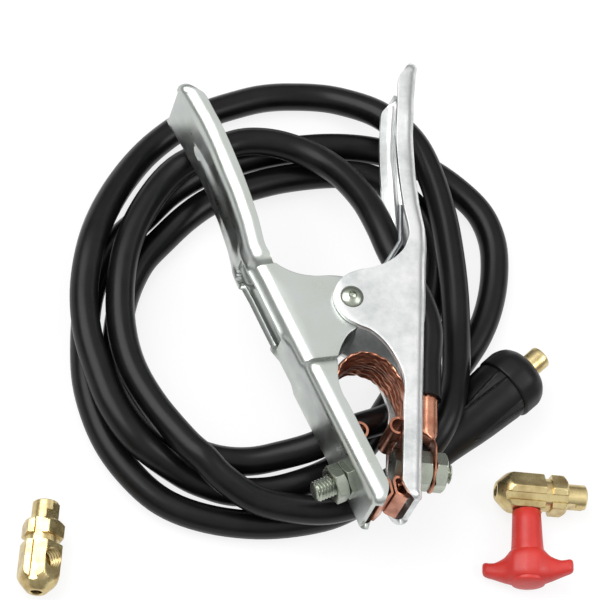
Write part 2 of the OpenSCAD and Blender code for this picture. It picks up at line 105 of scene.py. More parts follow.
def addNode(tree, kind, settings=None, inputs=None, links=None):
    node = tree.nodes.new(kind)
    for key, value in (settings or {}).items():
        setattr(node, key, value)
    for key, value in (inputs or {}).items():
        node.inputs[key].default_value = value
    for key, source in (links or {}).items():
        tree.links.new(source, node.inputs[key])
    return node


def newMaterial(name, **sockets):
    material = bpy.data.materials.new(name)
    material.use_nodes = True
    tree = material.node_tree
    shader = tree.nodes["Principled BSDF"]
    for key, value in sockets.items():
        shader.inputs[key.replace("_", " ")].default_value = value
    return material, tree, shader


def perMm(mm):
    return 1000 / mm     # texture scale that repeats about every mm


def objectCoords(tree):
    return addNode(tree, "ShaderNodeTexCoord").outputs["Object"]


def ramp(tree, source, stops):
    node = addNode(tree, "ShaderNodeValToRGB", links={"Fac": source})
    while len(node.color_ramp.elements) < len(stops):
        node.color_ramp.elements.new(0.5)
    for element, (at, colour) in zip(node.color_ramp.elements, stops):
        element.position = at
        element.color = colour
    return node.outputs["Color"]


def grey(v):
    return (v, v, v, 1)


zinc = {"colour": "#dfe1e1", "dull": "#b9bdbd", "grain": 0.9, "patch": 16, "rough": (0.22, 0.4)}


# bright zinc plate on pressed steel: a cool mirror with cloudy patches and fine drawing marks
def zincPlate(name, rough=None, colour=None, dull=None):
    lo, hi = rough or zinc["rough"]
    material, tree, shader = newMaterial(name, Metallic=1.0)
    coords = objectCoords(tree)
    patch = addNode(tree, "ShaderNodeTexNoise", inputs={"Scale": perMm(zinc["patch"]),
                    "Detail": 5.0, "Roughness": 0.65}, links={"Vector": coords})
    grain = addNode(tree, "ShaderNodeTexNoise", inputs={"Scale": perMm(zinc["grain"]),
                    "Detail": 3.0}, links={"Vector": coords})
    tint = ramp(tree, patch.outputs["Fac"], [(0.3, hexColour(dull or zinc["dull"])),
                (0.62, hexColour(colour or zinc["colour"]))])
    tree.links.new(tint, shader.inputs["Base Color"])
    rough = ramp(tree, patch.outputs["Fac"], [(0.35, grey(hi)), (0.7, grey(lo))])
    tree.links.new(rough, shader.inputs["Roughness"])
    bump = addNode(tree, "ShaderNodeBump", inputs={"Strength": 0.08, "Distance": 0.00012},
                   links={"Height": grain.outputs["Fac"]})
    tree.links.new(bump.outputs["Normal"], shader.inputs["Normal"])
    return material


# rolled copper sheet: warm, half bright, lightly stained
def rolledCopper(name, colour="#c98d73", dark="#925b47", rough=(0.22, 0.42)):
    material, tree, shader = newMaterial(name, Metallic=1.0)
    coords = objectCoords(tree)
    stain = addNode(tree, "ShaderNodeTexNoise", inputs={"Scale": perMm(7), "Detail": 4.0},
                    links={"Vector": coords})
    lines = addNode(tree, "ShaderNodeTexNoise", inputs={"Scale": perMm(0.8), "Detail": 2.0},
                    links={"Vector": coords})
    tint = ramp(tree, stain.outputs["Fac"], [(0.3, hexColour(dark)), (0.6, hexColour(colour))])
    tree.links.new(tint, shader.inputs["Base Color"])
    tree.links.new(ramp(tree, stain.outputs["Fac"], [(0.3, grey(rough[1])),
                   (0.7, grey(rough[0]))]), shader.inputs["Roughness"])
    bump = addNode(tree, "ShaderNodeBump", inputs={"Strength": 0.15, "Distance": 0.00015},
                   links={"Height": lines.outputs["Fac"]})
    tree.links.new(bump.outputs["Normal"], shader.inputs["Normal"])
    return material


# turned and milled brass: yellow, with tool marks that break its highlights
def turnedBrass(name):
    material, tree, shader = newMaterial(name, Metallic=1.0)
    coords = objectCoords(tree)
    cloud = addNode(tree, "ShaderNodeTexNoise", inputs={"Scale": perMm(5), "Detail": 4.0},
                    links={"Vector": coords})
    marks = addNode(tree, "ShaderNodeTexNoise", inputs={"Scale": perMm(0.5), "Detail": 3.0},
                    links={"Vector": coords})
    tint = ramp(tree, cloud.outputs["Fac"], [(0.3, hexColour("#b09767")),
                (0.62, hexColour("#d9c793"))])
    tree.links.new(tint, shader.inputs["Base Color"])
    tree.links.new(ramp(tree, marks.outputs["Fac"], [(0.3, grey(0.26)), (0.7, grey(0.38))]),
                   shader.inputs["Roughness"])
    bump = addNode(tree, "ShaderNodeBump", inputs={"Strength": 0.1, "Distance": 0.00006},
                   links={"Height": marks.outputs["Fac"]})
    tree.links.new(bump.outputs["Normal"], shader.inputs["Normal"])
    return material


# black rubber: soft broad sheen, faint dust and scuffs
def blackRubber(name, colour="#0a0a0b", dust="#131213", rough=(0.27, 0.38), bumpMm=0.03):
    material, tree, shader = newMaterial(name)
    coords = objectCoords(tree)
    shader.inputs["Specular IOR Level"].default_value = 0.22
    cloud = addNode(tree, "ShaderNodeTexNoise", inputs={"Scale": perMm(14), "Detail": 6.0,
                    "Roughness": 0.7}, links={"Vector": coords})
    pores = addNode(tree, "ShaderNodeTexNoise", inputs={"Scale": perMm(0.9), "Detail": 2.0},
                    links={"Vector": coords})
    tree.links.new(ramp(tree, cloud.outputs["Fac"], [(0.4, hexColour(colour)),
                   (0.75, hexColour(dust))]), shader.inputs["Base Color"])
    tree.links.new(ramp(tree, cloud.outputs["Fac"], [(0.3, grey(rough[0])),
                   (0.7, grey(rough[1]))]), shader.inputs["Roughness"])
    bump = addNode(tree, "ShaderNodeBump", inputs={"Strength": 0.25,
                   "Distance": bumpMm / 1000}, links={"Height": pores.outputs["Fac"]})
    tree.links.new(bump.outputs["Normal"], shader.inputs["Normal"])
    return material


# moulded red nylon: even colour, fine pebble, soft gloss
def redNylon(name):
    material, tree, shader = newMaterial(name)
    coords = objectCoords(tree)
    shader.inputs["IOR"].default_value = 1.53
    shader.inputs["Subsurface Weight"].default_value = 0.05
    shader.inputs["Subsurface Radius"].default_value = (0.002, 0.0008, 0.0005)
    cloud = addNode(tree, "ShaderNodeTexNoise", inputs={"Scale": perMm(9), "Detail": 3.0},
                    links={"Vector": coords})
    pebble = addNode(tree, "ShaderNodeTexNoise", inputs={"Scale": perMm(0.7), "Detail": 2.0},
                     links={"Vector": coords})
    tree.links.new(ramp(tree, cloud.outputs["Fac"], [(0.3, hexColour("#b3211b")),
                   (0.7, hexColour("#c12c24"))]), shader.inputs["Base Color"])
    tree.links.new(ramp(tree, pebble.outputs["Fac"], [(0.3, grey(0.38)), (0.7, grey(0.5))]),
                   shader.inputs["Roughness"])
    bump = addNode(tree, "ShaderNodeBump", inputs={"Strength": 0.2, "Distance": 0.00008},
                   links={"Height": pebble.outputs["Fac"]})
    tree.links.new(bump.outputs["Normal"], shader.inputs["Normal"])
    return material


# two copies of one zinc plate: the right arm's brighter colour is painted light, the left arm's
# darker colour is painted shade
zincPaintedLight = zincPlate("zincPlatePaintedLight", colour="#f1f2f1", rough=(0.28, 0.44))
zincPaintedShade = zincPlate("zincPlatePaintedShade", colour="#c3c8c1", rough=(0.24, 0.4))
boltZinc = zincPlate("boltZincPlate", rough=(0.2, 0.34), colour="#b3b8ab", dull="#858b80")
springSteel = zincPlate("springSteel", rough=(0.3, 0.45), colour="#8b8e92")
shoeCopper = rolledCopper("shoeCopper")
braidCopper = rolledCopper("braidCopper", colour="#cc9176", dark="#8d5a48", rough=(0.26, 0.42))
brassMetal = turnedBrass("turnedBrass")
cableRubber = blackRubber("cableRubber")
bootRubber = blackRubber("bootRubber", colour="#09090a", dust="#111112", rough=(0.34, 0.48))
knobNylon = redNylon("knobNylon")
print("stage: materials")


# mesh helpers

def finishObject(obj, body, replaced=(), bevelMm=0.0, angle=38):
    obj.data.polygons.foreach_set("use_smooth", [True] * len(obj.data.polygons))
    obj.data.set_sharp_from_angle(angle=math.radians(angle))
    if bevelMm:
        bevel = obj.modifiers.new("edgeRounding", "BEVEL")
        bevel.width = bevelMm / 1000
        bevel.segments = 2
        bevel.limit_method = "ANGLE"
        bevel.angle_limit = math.radians(angle)
        bevel.use_clamp_overlap = True
        bevel.harden_normals = False
    if body:
        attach(obj, body)
    if replaced:
        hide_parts(*replaced)
    return obj


def meshObject(name, points, faces, material, place=toRow, merge=0.0):
    mesh = bpy.data.meshes.new(name)
    mesh.from_pydata([place(p) for p in points], [], faces)
    bm = bmesh.new()
    bm.from_mesh(mesh)
    bmesh.ops.remove_doubles(bm, verts=bm.verts, dist=max(merge, 0.001) / 1000)
    bmesh.ops.recalc_face_normals(bm, faces=bm.faces)
    bm.to_mesh(mesh)
    bm.free()
    mesh.materials.append(material)
    obj = bpy.data.objects.new(name, mesh)
    bpy.context.scene.collection.objects.link(obj)
    return obj


# quads between rows of points; round closes each row on itself
def gridFaces(rows, cols, round=True, capStart=False, capEnd=False, start=0):
    faces = []
    for i in range(rows - 1):
        for k in range(cols if round else cols - 1):
            a, b = start + i * cols + k, start + i * cols + (k + 1) % cols
            faces.append((a, b, b + cols, a + cols))
    if capStart:
        faces.append(tuple(start + k for k in range(cols - 1, -1, -1)))
    if capEnd:
        faces.append(tuple(start + (rows - 1) * cols + k for k in range(cols)))
    return faces


class Parts:
    # gathers several closed shells into one mesh
    def __init__(self):
        self.points, self.faces = [], []

    def add(self, rows, round=True, capStart=False, capEnd=False):
        start = len(self.points)
        for row in rows:
            self.points += [Vector(p) for p in row]
        self.faces += gridFaces(len(rows), len(rows[0]), round, capStart, capEnd, start)
        return self


# rows of a turned shape about local z, from (radius, height) pairs
def turned(profile, sides=64, shape=lambda angle, r, z: r):
    rows = []
    for r, z in profile:
        rows.append([(shape(t, r, z) * math.cos(t), shape(t, r, z) * math.sin(t), z)
                     for t in (2 * math.pi * k / sides for k in range(sides))])
    return rows


def axes(origin, x, y, z):
    o, x, y, z = Vector(origin), Vector(x), Vector(y), Vector(z)
    return lambda p: toRow(o + p[0] * x + p[1] * y + p[2] * z)


def smoothLine(points, steps):
    points = [Vector(p) for p in points]
    ends = [2 * points[0] - points[1]] + points + [2 * points[-1] - points[-2]]
    out = []
    for i in range(len(points) - 1):
        a, b, c, d = ends[i:i + 4]
        for k in range(steps):
            t = k / steps
            out.append(0.5 * (2 * b + (c - a) * t + (2 * a - 5 * b + 4 * c - d) * t * t
                              + (3 * b - a - 3 * c + d) * t ** 3))
    return out + [points[-1]]


def lineAt(line, y):
    # x of a line of (x, y) points, rising in y
    for (x1, y1), (x2, y2) in zip(line, line[1:]):
        if y <= y2:
            return x1 + (x2 - x1) * (y - y1) / (y2 - y1)
    (x1, y1), (x2, y2) = line[-2:]
    return x2 + (x2 - x1) * (y - y2) / (y2 - y1)


def ease(t):
    t = min(max(t, 0), 1)
    return t * t * (3 - 2 * t)


def hump(y, low, high, soft):
    return ease((y - low) / soft + 0.5) * ease((high - y) / soft + 0.5)


# cable

cable = {"diameter": 11,
         "tail": [(23.9, -38.1, 36.8), (24.4, -36.2, 36.8), (27.3, -23.8, 36.8),
                  (30.9, -11, 36.8), (30.5, 1.5, 36.3),
                  (28, 11.5, 35.5), (25, 24, 34), (23.5, 36.5, 32), (21.5, 50, 28),
                  (17, 63.5, 22.8), (11, 73, 18.6), (3, 79.5, 17)],
         "coil": [(-6.5, 83.5, 17), (-17, 85, 17), (-27, 83, 17), (-46, 76, 17),
                  (-62, 60.5, 17), (-73, 42, 17), (-79, 20, 17), (-79.5, 0, 17),
                  (-74.5, -18, 17.5), (-66, -36, 20), (-60.5, -44.5, 21.5),
                  (-54, -53, 19.5), (-42, -62.5, 17), (-24, -68.5, 17), (-11, -69, 17),
                  (1, -66, 17), (13, -60, 17.7), (23.5, -53, 22.5), (31, -45.5, 25.6),
                  (37, -36, 25), (43.5, -21.5, 20.5), (48.5, -4.5, 17.5), (52, 12.5, 17),
                  (54, 28, 17), (55, 43, 17), (54.5, 58.5, 17), (52, 72.5, 17.5),
                  (48, 82.5, 16.5), (43, 90.5, 14), (38, 96, 12), (31, 101.5, 9),
                  (22.5, 106, 6.5), (10.5, 108.5, 5.5), (-2.5, 109, 5.5),
                  (-15.5, 107, 5.5), (-27.5, 104, 5.5), (-40.5, 98.5, 5.5),
                  (-56.5, 87, 7), (-72, 69.5, 12), (-83.5, 51, 16.5), (-90.5, 32, 17),
                  (-93, 15, 17.5), (-92, -1, 17), (-89, -18, 17), (-81.5, -33, 15.5),
                  (-67, -44.5, 9), (-57.5, -50, 7), (-47.5, -53.5, 5.5), (-34, -55, 5.5),
                  (-19, -53, 5.5), (-6.5, -49, 5.5), (5.5, -42, 5.5), (15, -31.5, 5.5),
                  (24.5, -20.5, 5.5), (33, -8, 5.5), (41, 4.5, 5.5), (48, 18, 5.5),
                  (52.5, 33, 5.5), (52, 46.5, 5.5), (47.5, 56.5, 5.5), (41, 64.5, 5.5),
                  (31.5, 70.5, 5.5), (18, 73, 5.5), (0, 73, 5.5), (-15, 71, 5.5),
                  (-31, 67, 5.5), (-42.5, 61, 5.5), (-54, 52.5, 5.5), (-64.5, 43.5, 5.5),
                  (-73, 31, 5.5), (-79, 16, 5.5), (-81.5, 1, 5.5), (-79, -13, 5.5),
                  (-72, -25.5, 5.5), (-62.5, -34, 5.5), (-51, -40, 5.5), (-39, -42.5, 6),
                  (-27, -42.5, 8.5), (-17, -42, 11.5), (-8, -40.5, 15), (1.5, -38.5, 17),
                  (12, -36.5, 17), (22, -33, 16.5), (31.5, -29, 12.5), (41, -22.5, 8.5),
                  (52, -12.5, 6), (62, -1.5, 5.5), (69.5, 11, 5.5), (74.5, 24.5, 5.5),
                  (76.5, 37, 5.5), (74.5, 49, 5.5), (68, 59.5, 5.5), (58.5, 69.5, 5.5),
                  (47, 77.5, 5.5), (34, 82.5, 5.5), (18, 85, 5.5), (0, 85, 5.5),
                  (-16, 83, 5.5), (-33, 79, 5.5), (-47.5, 72, 5.5), (-60.5, 62, 5.5),
                  (-71.5, 54, 5.5), (-79.5, 45.5, 5.5), (-87.5, 30.5, 5.5),
                  (-92.5, 12, 5.5), (-94.5, -6, 5.5), (-92, -25, 5.5), (-85.5, -40.5, 5.5),
                  (-75, -54, 5.5), (-59, -63, 5.5), (-38.5, -68, 5.5), (-17, -68, 5.5),
                  (-2, -64, 5.5), (11, -58.5, 6.5), (19.8, -54.5, 8.6),
                  (27.6, -50.2, 9.5)]}


def makeCable(c):
    line = [Vector((p.x, p.y, max(p.z, c["diameter"] / 2)))
            for p in smoothLine(c["tail"] + c["coil"], 6)]
    curve = bpy.data.curves.new("weldingCable", "CURVE")
    curve.dimensions = "3D"
    curve.bevel_depth = c["diameter"] / 2000
    curve.bevel_resolution = 5
    curve.use_fill_caps = True
    spline = curve.splines.new("POLY")
    spline.points.add(len(line) - 1)
    for point, p in zip(spline.points, line):
        point.co = (*toRow(p), 1)
    spline.use_smooth = True
    curve.materials.append(cableRubber)
    obj = bpy.data.objects.new("weldingCable", curve)
    bpy.context.scene.collection.objects.link(obj)
    length = sum((b - a).length for a, b in zip(line, line[1:])) / 1000
    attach(obj, "clamp")
    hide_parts("cable_tail", "cable_coil")
    return obj, length, toRow(line[0])


cableObj, cableLength, cableExit = makeCable(cable)
print("stage: cable", round(cableLength, 3), "m")


# arms

webLine = [(7, -80.5), (27.5, 1.5), (30, 12), (32, 19), (33.4, 26), (33.6, 36), (34.8, 48),
           (37.8, 66), (41.2, 80), (45.6, 94)]
flangeEdge = [(6.2, -79.6), (4, -78), (2.9, -74.5), (3.6, -70.5), (10.3, -43.8), (12, -38),
              (12.4, -32), (11, -25.5), (8.3, -19.1), (4.3, -14), (0.3, -11.5), (-4, -8),
              (-6.5, -3), (-6.5, 2), (-3.8, 6.5), (0, 9.2), (5, 10.5), (12, 11.2), (18, 13),
              (23.5, 16.5), (26.5, 20.5), (28.2, 25), (28.5, 36), (29.7, 48.5), (31.7, 62),
              (34.2, 73), (36.6, 81.8), (38.4, 88.3), (40.4, 90.7), (42.7, 92.15), (44.8, 93.5)]
arm = {"halfWidth": 12.5, "spoonHalf": 14, "spoonFrom": 60, "spoonTo": 77, "tipFrom": 90.8,
       "tipR": 2.8, "jawFrom": -78, "jawR": 1.5, "cornerR": 2.8,
       "joggle": 2.5, "joggleFrom": -24, "joggleTo": 20,
       "ribDepth": 1.3, "ribHalf": 4.8, "ribFrom": 27, "ribTo": 74,
       "window": (-9, 25, -7.5, 6.5), "windowLip": 1.1}


def makeArm(name, side, joggled, body):
    a = arm
    edge = smoothLine([(x, y, 0) for x, y in flangeEdge], 5)
    stations = [(p.x, p.y) for p in edge]
    # more stations where the edge runs far along the arm
    fuller = [stations[0]]
    for x, y in stations[1:]:
        lastX, lastY = fuller[-1]
        n = max(1, int(math.ceil((y - lastY) / 1.6)))
        fuller += [(lastX + (x - lastX) * k / n, lastY + (y - lastY) * k / n)
                   for k in range(1, n + 1)]
    rows, yOfRow = [], []
    flangeCols, cornerCols, webCols = 8, 5, 26
    for x, y in fuller:
        half = a["halfWidth"] + (a["spoonHalf"] - a["halfWidth"]) * ease(
            (y - a["spoonFrom"]) / (a["spoonTo"] - a["spoonFrom"]))
        for past, r in ((y - a["tipFrom"], a["tipR"]), (a["jawFrom"] - y, a["jawR"])):
            if past > 0:
                half -= r - math.sqrt(max(r * r - past * past, 0))
        if joggled:
            half -= a["joggle"] * hump(y, a["joggleFrom"], a["joggleTo"], 3)
        web = lineAt(webLine, y)
        wide = web - x
        r = min(a["cornerR"], wide * 0.7, half * 0.7)
        rib = a["ribDepth"] * hump(y, a["ribFrom"], a["ribTo"], 9)
        # the rib narrows to a point towards the handle's end
        ribHalf = a["ribHalf"] * min(max((a["ribTo"] + 3 - y) / 26, 0.12), 1)
        lip = a["windowLip"] * hump(y, a["window"][0] - 2, a["window"][1] + 2, 8)
        section = []
        for k in range(flangeCols):
            section.append((x + (wide - r) * k / flangeCols, half))
        for k in range(cornerCols):
            t = math.pi / 2 * k / cornerCols
            section.append((web - r + r * math.sin(t), half - r + r * math.cos(t)))
        for k in range(webCols + 1):
            z = (half - r) * (1 - 2 * k / webCols)
            out = rib * math.exp(-(z / ribHalf) ** 2)
            out += lip * math.exp(-((abs(z + 0.5) - 7.5) / 2.2) ** 2)
            section.append((web + out, z))
        for k in range(1, cornerCols + 1):
            t = math.pi / 2 * (1 - k / cornerCols)
            section.append((web - r + r * math.sin(t), -(half - r + r * math.cos(t))))
        for k in range(1, flangeCols + 1):
            section.append((web - r - (wide - r) * k / flangeCols, -half))
        rows.append([(side * sx, y, mid + sz) for sx, sz in section])
        yOfRow.append(y)
    cols = len(rows[0])
    points = [p for row in rows for p in row]
    low, high, zLow, zHigh = a["window"]
    faces = []
    for f in gridFaces(len(rows), cols, round=False):
        y = sum(points[i][1] for i in f) / 4
        z = sum(points[i][2] for i in f) / 4 - mid
        onWeb = flangeCols + cornerCols <= f[0] % cols < flangeCols + cornerCols + webCols
        inside = low < y < high and zLow < z < zHigh
        if inside:
            # rounded corners of the window
            dy, dz = min(y - low, high - y), min(z - zLow, zHigh - z)
            if dy < 4 and dz < 4 and math.hypot(4 - dy, 4 - dz) > 4:
                inside = False
        if not (onWeb and inside):
            faces.append(f if side > 0 else f[::-1])
    mesh = bpy.data.meshes.new(name)
    mesh.from_pydata([toRow(p) for p in points], [], faces)
    # the left arm takes the zinc with painted shade, the right arm the zinc with painted light
    mesh.materials.append(zincPaintedShade if joggled else zincPaintedLight)
    obj = bpy.data.objects.new(name, mesh)
    bpy.context.scene.collection.objects.link(obj)
    thick = obj.modifiers.new("sheetThickness", "SOLIDIFY")
    thick.thickness = sheetT / 1000
    thick.offset = 1
    thick.use_even_offset = True
    return finishObject(obj, body, [name], bevelMm=0.3, angle=50)


makeArm("right_arm", 1, False, "clamp")
makeArm("left_arm", -1, True, "left_jaw")
print("stage: arms")

# pivot

rivet = {"headR": 4.9, "headH": 3.9, "shaftR": 3.0, "recessR": 1.7}


def makeRivet(r):
    top = mid + 12.5
    dome = [(r["headR"] * math.cos(t), top + 0.9 + (r["headH"] - 0.9) * math.sin(t))
            for t in (math.pi / 2 * k / 10 for k in range(8))]
    profile = [(0.01, 20.3), (3.8, 20.3), (4.6, 21.3), (4.6, 23.1), (r["shaftR"], 23.1),
               (r["shaftR"], top), (5.4, top), (5.4, top + 0.6), (4.9, top + 0.75)] + dome + [
               (r["recessR"], top + 3.75), (r["recessR"] * 0.8, top + 2.6), (0.01, top + 2.3)]
    parts = Parts().add(turned(profile, 48))
    obj = meshObject("pivot_rivet", parts.points, parts.faces, boltZinc)
    return finishObject(obj, "clamp", ["pivot_rivet"], angle=30)


makeRivet(rivet)


def tubeRows(line, radius, sides=12):
    rows, side = [], None
    for i, p in enumerate(line):
        ahead = (line[min(i + 1, len(line) - 1)] - line[max(i - 1, 0)]).normalized()
        side = side or ahead.orthogonal().normalized()
        side = (side - side.dot(ahead) * ahead).normalized()
        up = ahead.cross(side)
        rows.append([p + radius * (math.cos(t) * side + math.sin(t) * up)
                     for t in (2 * math.pi * k / sides for k in range(sides))])
    return rows


spring = {"wire": 2.2, "meanR": 6.1, "turns": 4.45, "pitch": 2.65, "low": 30.55, "start": 200}


def makeSpring(s):
    high = s["low"] + s["pitch"] * s["turns"]
    coil = []
    steps = int(24 * s["turns"])
    for k in range(steps + 1):
        t = k / steps * s["turns"] * 2 * math.pi
        around = math.radians(s["start"]) + t
        coil.append((s["meanR"] * math.cos(around), s["meanR"] * math.sin(around),
                     s["low"] + s["pitch"] * t / (2 * math.pi)))
    legs = [(-30.2, 39, s["low"]), (-27.2, 24, s["low"]), (-11.5, 7, s["low"])]
    others = [(11.5, 7, high), (26.6, 24, high), (30.2, 39, high)]
    line = [Vector(p) for p in legs] + [Vector(p) for p in coil] + [Vector(p) for p in others]
    parts = Parts().add(tubeRows(line, s["wire"] / 2, 10), capStart=True, capEnd=True)
    obj = meshObject("torsion_spring", parts.points, parts.faces, springSteel)
    finishObject(obj, None, ["torsion_spring"])
    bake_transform(obj)
    return obj


makeSpring(spring)
for node in ("pivot_bush", "rivet_washer", "right_washer", "clamp_screw", "knob_screw"):
    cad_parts[node].data.materials.clear()
    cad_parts[node].data.materials.append(boltZinc)
print("stage: pivot")

# jaw bolts, nuts, shoes

slope = 0.25
webDir = unit((slope, 1, 0))
webOut = unit((1, -slope, 0))
boltAt = Vector((7 + slope * (-65 + 80.5), -65, mid))


def atBolt(side):
    # local x along the bolt outward, y along the arm, z up
    flip = lambda v: Vector((v.x * side, v.y, v.z))
    return axes(flip(boltAt), flip(webOut), flip(webDir), (0, 0, 1))


# a nut or bolt head about local x with chamfered corners; hole 0 makes a head
def hexRows(af, low, high, hole, sides=72, bothSides=True):
    flat = af / 2
    rim = flat * 0.985

    def outer(t):
        return flat / math.cos((t + math.pi / 6) % (math.pi / 3) - math.pi / 6)

    def ring(f):
        return [f(2 * math.pi * k / sides) for k in range(sides)]

    def point(x, r, t):
        return (x, r * math.cos(t), r * math.sin(t))

    def drop(t):
        return max(outer(t) - rim, 0) * math.tan(math.radians(30))
    rows = []
    if hole:
        rows.append(ring(lambda t: point(low, hole, t)))
    else:
        rows.append(ring(lambda t: point(low, 0.01, t)))
    if bothSides:
        rows.append(ring(lambda t: point(low, rim, t)))
        rows.append(ring(lambda t: point(low + drop(t), outer(t), t)))
    else:
        rows.append(ring(lambda t: point(low, outer(t), t)))
    rows.append(ring(lambda t: point(high - drop(t), outer(t), t)))
    rows.append(ring(lambda t: point(high, rim, t)))
    if hole:
        rows.append(ring(lambda t: point(high, hole + 0.5, t)))
        rows.append(ring(lambda t: point(high - 0.5, hole, t)))
        rows.append(rows[0])
    else:
        rows.append(ring(lambda t: point(high, flat * 0.7, t)))
        rows.append(ring(lambda t: point(high, 0.01, t)))
    return rows


# screw thread as one helical surface about local x
def threadRows(radius, low, high, pitch=1.25, depth=0.62, sides=40, perTurn=8):
    count = int((high - low) / pitch * perTurn)
    rows = []
    for i in range(count + 1):
        x = low + (high - low) * i / count
        fade = min(1.0, (high - x) / 1.2)
        row = []
        for k in range(sides):
            t = 2 * math.pi * k / sides
            phase = (x / pitch - k / sides) % 1
            dip = depth * min(1.0, max(0.0, 1.35 * abs(2 * phase - 1) - 0.15))
            r = (radius - dip) * (0.86 + 0.14 * math.sqrt(max(fade, 0)))
            row.append((x, r * math.cos(t), r * math.sin(t)))
        rows.append(row)
    return rows


fittings = {"studR": 4, "hexAf": 13, "headFrom": -4.2, "headTo": -6.8, "rightEnd": 15.4,
            "leftEnd": 16.3, "rightNuts": [(1.4, 7.6), (8.6, 13.2)],
            "leftNuts": [(0, 4.6), (4.8, 9.4)]}


def makeStud(name, side, end, body):
    f = fittings
    parts = Parts()
    parts.add([list(reversed(r)) for r in hexRows(f["hexAf"], f["headTo"], f["headFrom"], 0,
                                                  bothSides=False)])
    rows = threadRows(f["studR"], f["headFrom"], end)
    parts.add(rows, capStart=True, capEnd=True)
    obj = meshObject(name, parts.points, parts.faces, boltZinc, place=atBolt(side))
    return finishObject(obj, body, [name], angle=32)


def makeNuts(name, side, spans, body):
    parts = Parts()
    for low, high in spans:
        parts.add(hexRows(fittings["hexAf"], low, high, fittings["studR"]))
    obj = meshObject(name, parts.points, parts.faces, boltZinc, place=atBolt(side))
    return finishObject(obj, body, [name], bevelMm=0.12, angle=32)


makeStud("right_stud", 1, fittings["rightEnd"], "clamp")
makeStud("left_stud", -1, fittings["leftEnd"], "left_jaw")
makeNuts("right_nuts", 1, fittings["rightNuts"], "clamp")
makeNuts("left_nuts", -1, fittings["leftNuts"], "left_jaw")

shoe = {"t": 0.9, "width": 20, "w": -3.3, "upperR": 3.4, "upperAt": 12.8,
        "lower": [(-7.66, -11), (-7.36, -12.3), (-7.05, -13.3), (-6.5, -13.9), (-3.5, -15.05),
                  (-2.95, -15), (-2.8, -14.4), (-2.8, -12.6), (-3.4, -10.4)],
        "ringAt": (-6.45, -9.2), "ringR": 1.55}


# the line of the copper strip in the bolt's frame: (outward, along)
def shoeLine(s):
    w = s["w"] - s["t"] / 2
    cx, cy = s["ringAt"]
    line = [(cx + s["ringR"] * math.cos(t), cy + s["ringR"] * math.sin(t))
            for t in (math.radians(-90 + 280 * k / 20) for k in range(21))]
    line += [(p.x, p.y) for p in smoothLine([(x, y, 0) for x, y in s["lower"]], 4)]
    line += [(w, -8.8 + (s["upperAt"] + 8.8) * k / 12) for k in range(12)]
    r = s["upperR"] - s["t"] / 2
    line += [(s["w"] - s["upperR"] + r * math.cos(t), s["upperAt"] + r * math.sin(t))
             for t in (math.radians(285 * k / 24) for k in range(25))]
    return line


# a strip of constant thickness along a line in the plane, standing in z
def stripRows(line, t, half):
    left, right = [], []
    for i, p in enumerate(line):
        a, b = line[max(i - 1, 0)], line[min(i + 1, len(line) - 1)]
        d = Vector((b[0] - a[0], b[1] - a[1])).normalized()
        left.append((p[0] - d.y * t / 2, p[1] + d.x * t / 2))
        right.append((p[0] + d.y * t / 2, p[1] - d.x * t / 2))
    rows = []
    for l, r in zip(left, right):
        rows.append([(*l, -half), (*l, half), (*r, half), (*r, -half)])
    return rows


def makeShoe(name, side, body):
    parts = Parts().add(stripRows(shoeLine(shoe), shoe["t"], shoe["width"] / 2),
                        capStart=True, capEnd=True)
    obj = meshObject(name, parts.points, parts.faces, shoeCopper, place=atBolt(side))
    return finishObject(obj, body, [name], bevelMm=0.18, angle=60)


makeShoe("right_shoe", 1, "clamp")
makeShoe("left_shoe", -1, "left_jaw")
print("stage: bolts and shoes")

# braid

braid = {"half": 10, "thick": 1.0, "bundle": 3.1, "slant": 0.33, "relief": 0.7,
         "path": [(-6.5, 0), (8, 0), (22, 0)],
         "arch": [(13.9, -38.5), (13, -33), (10.6, -27.5), (7.4, -23.8), (3.5, -21.6), (0, -21)]}


def makeBraid(b):
    w = -sheetT - 0.05 - b["thick"] / 2
    start = []
    for u, extra in b["path"]:
        p = boltAt + (w + extra) * webOut + u * webDir
        start.append((p.x, p.y, 0))
    halfLine = start + [(x, y, 0) for x, y in b["arch"]]
    line = smoothLine(halfLine + [(-x, y, 0) for x, y, z in reversed(halfLine[:-1])], 22)
    dist, along = 0, []
    for i, p in enumerate(line):
        dist += (p - line[i - 1]).length if i else 0
        along.append(dist)
    across = 80
    rows = []
    for i, p in enumerate(line):
        a, c = line[max(i - 1, 0)], line[min(i + 1, len(line) - 1)]
        d = (c - a).normalized()
        n = Vector((-d.y, d.x, 0))
        # flat where it is bolted, loose in the arch
        loose = ease((min(along[i], dist - along[i]) - 22) / 12)
        row = []
        for face in (1, -1):
            cols = range(across + 1) if face > 0 else range(across, -1, -1)
            for k in cols:
                v = -b["half"] + 2 * b["half"] * k / across
                s = (along[i] * b["slant"] + v) / b["bundle"]
                q = (along[i] * b["slant"] - v) / b["bundle"]
                over = math.sin(math.pi * s / 1.0) * math.sin(math.pi * q / 1.0)
                # the strand on top hands over smoothly to the one that crosses it
                top = 0.5 + 0.5 * math.tanh(4 * over * face)
                lift = (abs(math.sin(math.pi * s)) ** 0.8 * top
                        + abs(math.sin(math.pi * q)) ** 0.8 * (1 - top))
                fray = 0.15 * math.sin(along[i] * 2.1) * (abs(v) / b["half"]) ** 4
                wave = loose * 0.5 * math.sin(v * 0.42 + along[i] * 0.12)
                edge = math.sqrt(max(1 - (abs(v) / b["half"]) ** 6, 0.02))
                h = face * (b["thick"] / 2 * edge + b["relief"] * (lift - 0.5)
                            * (0.35 + 0.65 * loose)) + wave
                row.append(Vector((p.x, p.y, mid + v * (1 - 0.03 * loose)
                                   + fray * loose)) + n * h)
        rows.append(row)
    parts = Parts().add(rows, capStart=True, capEnd=True)
    obj = meshObject("braid", parts.points, parts.faces, braidCopper)
    finishObject(obj, None, ["braid"], angle=70)
    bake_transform(obj)
    return obj


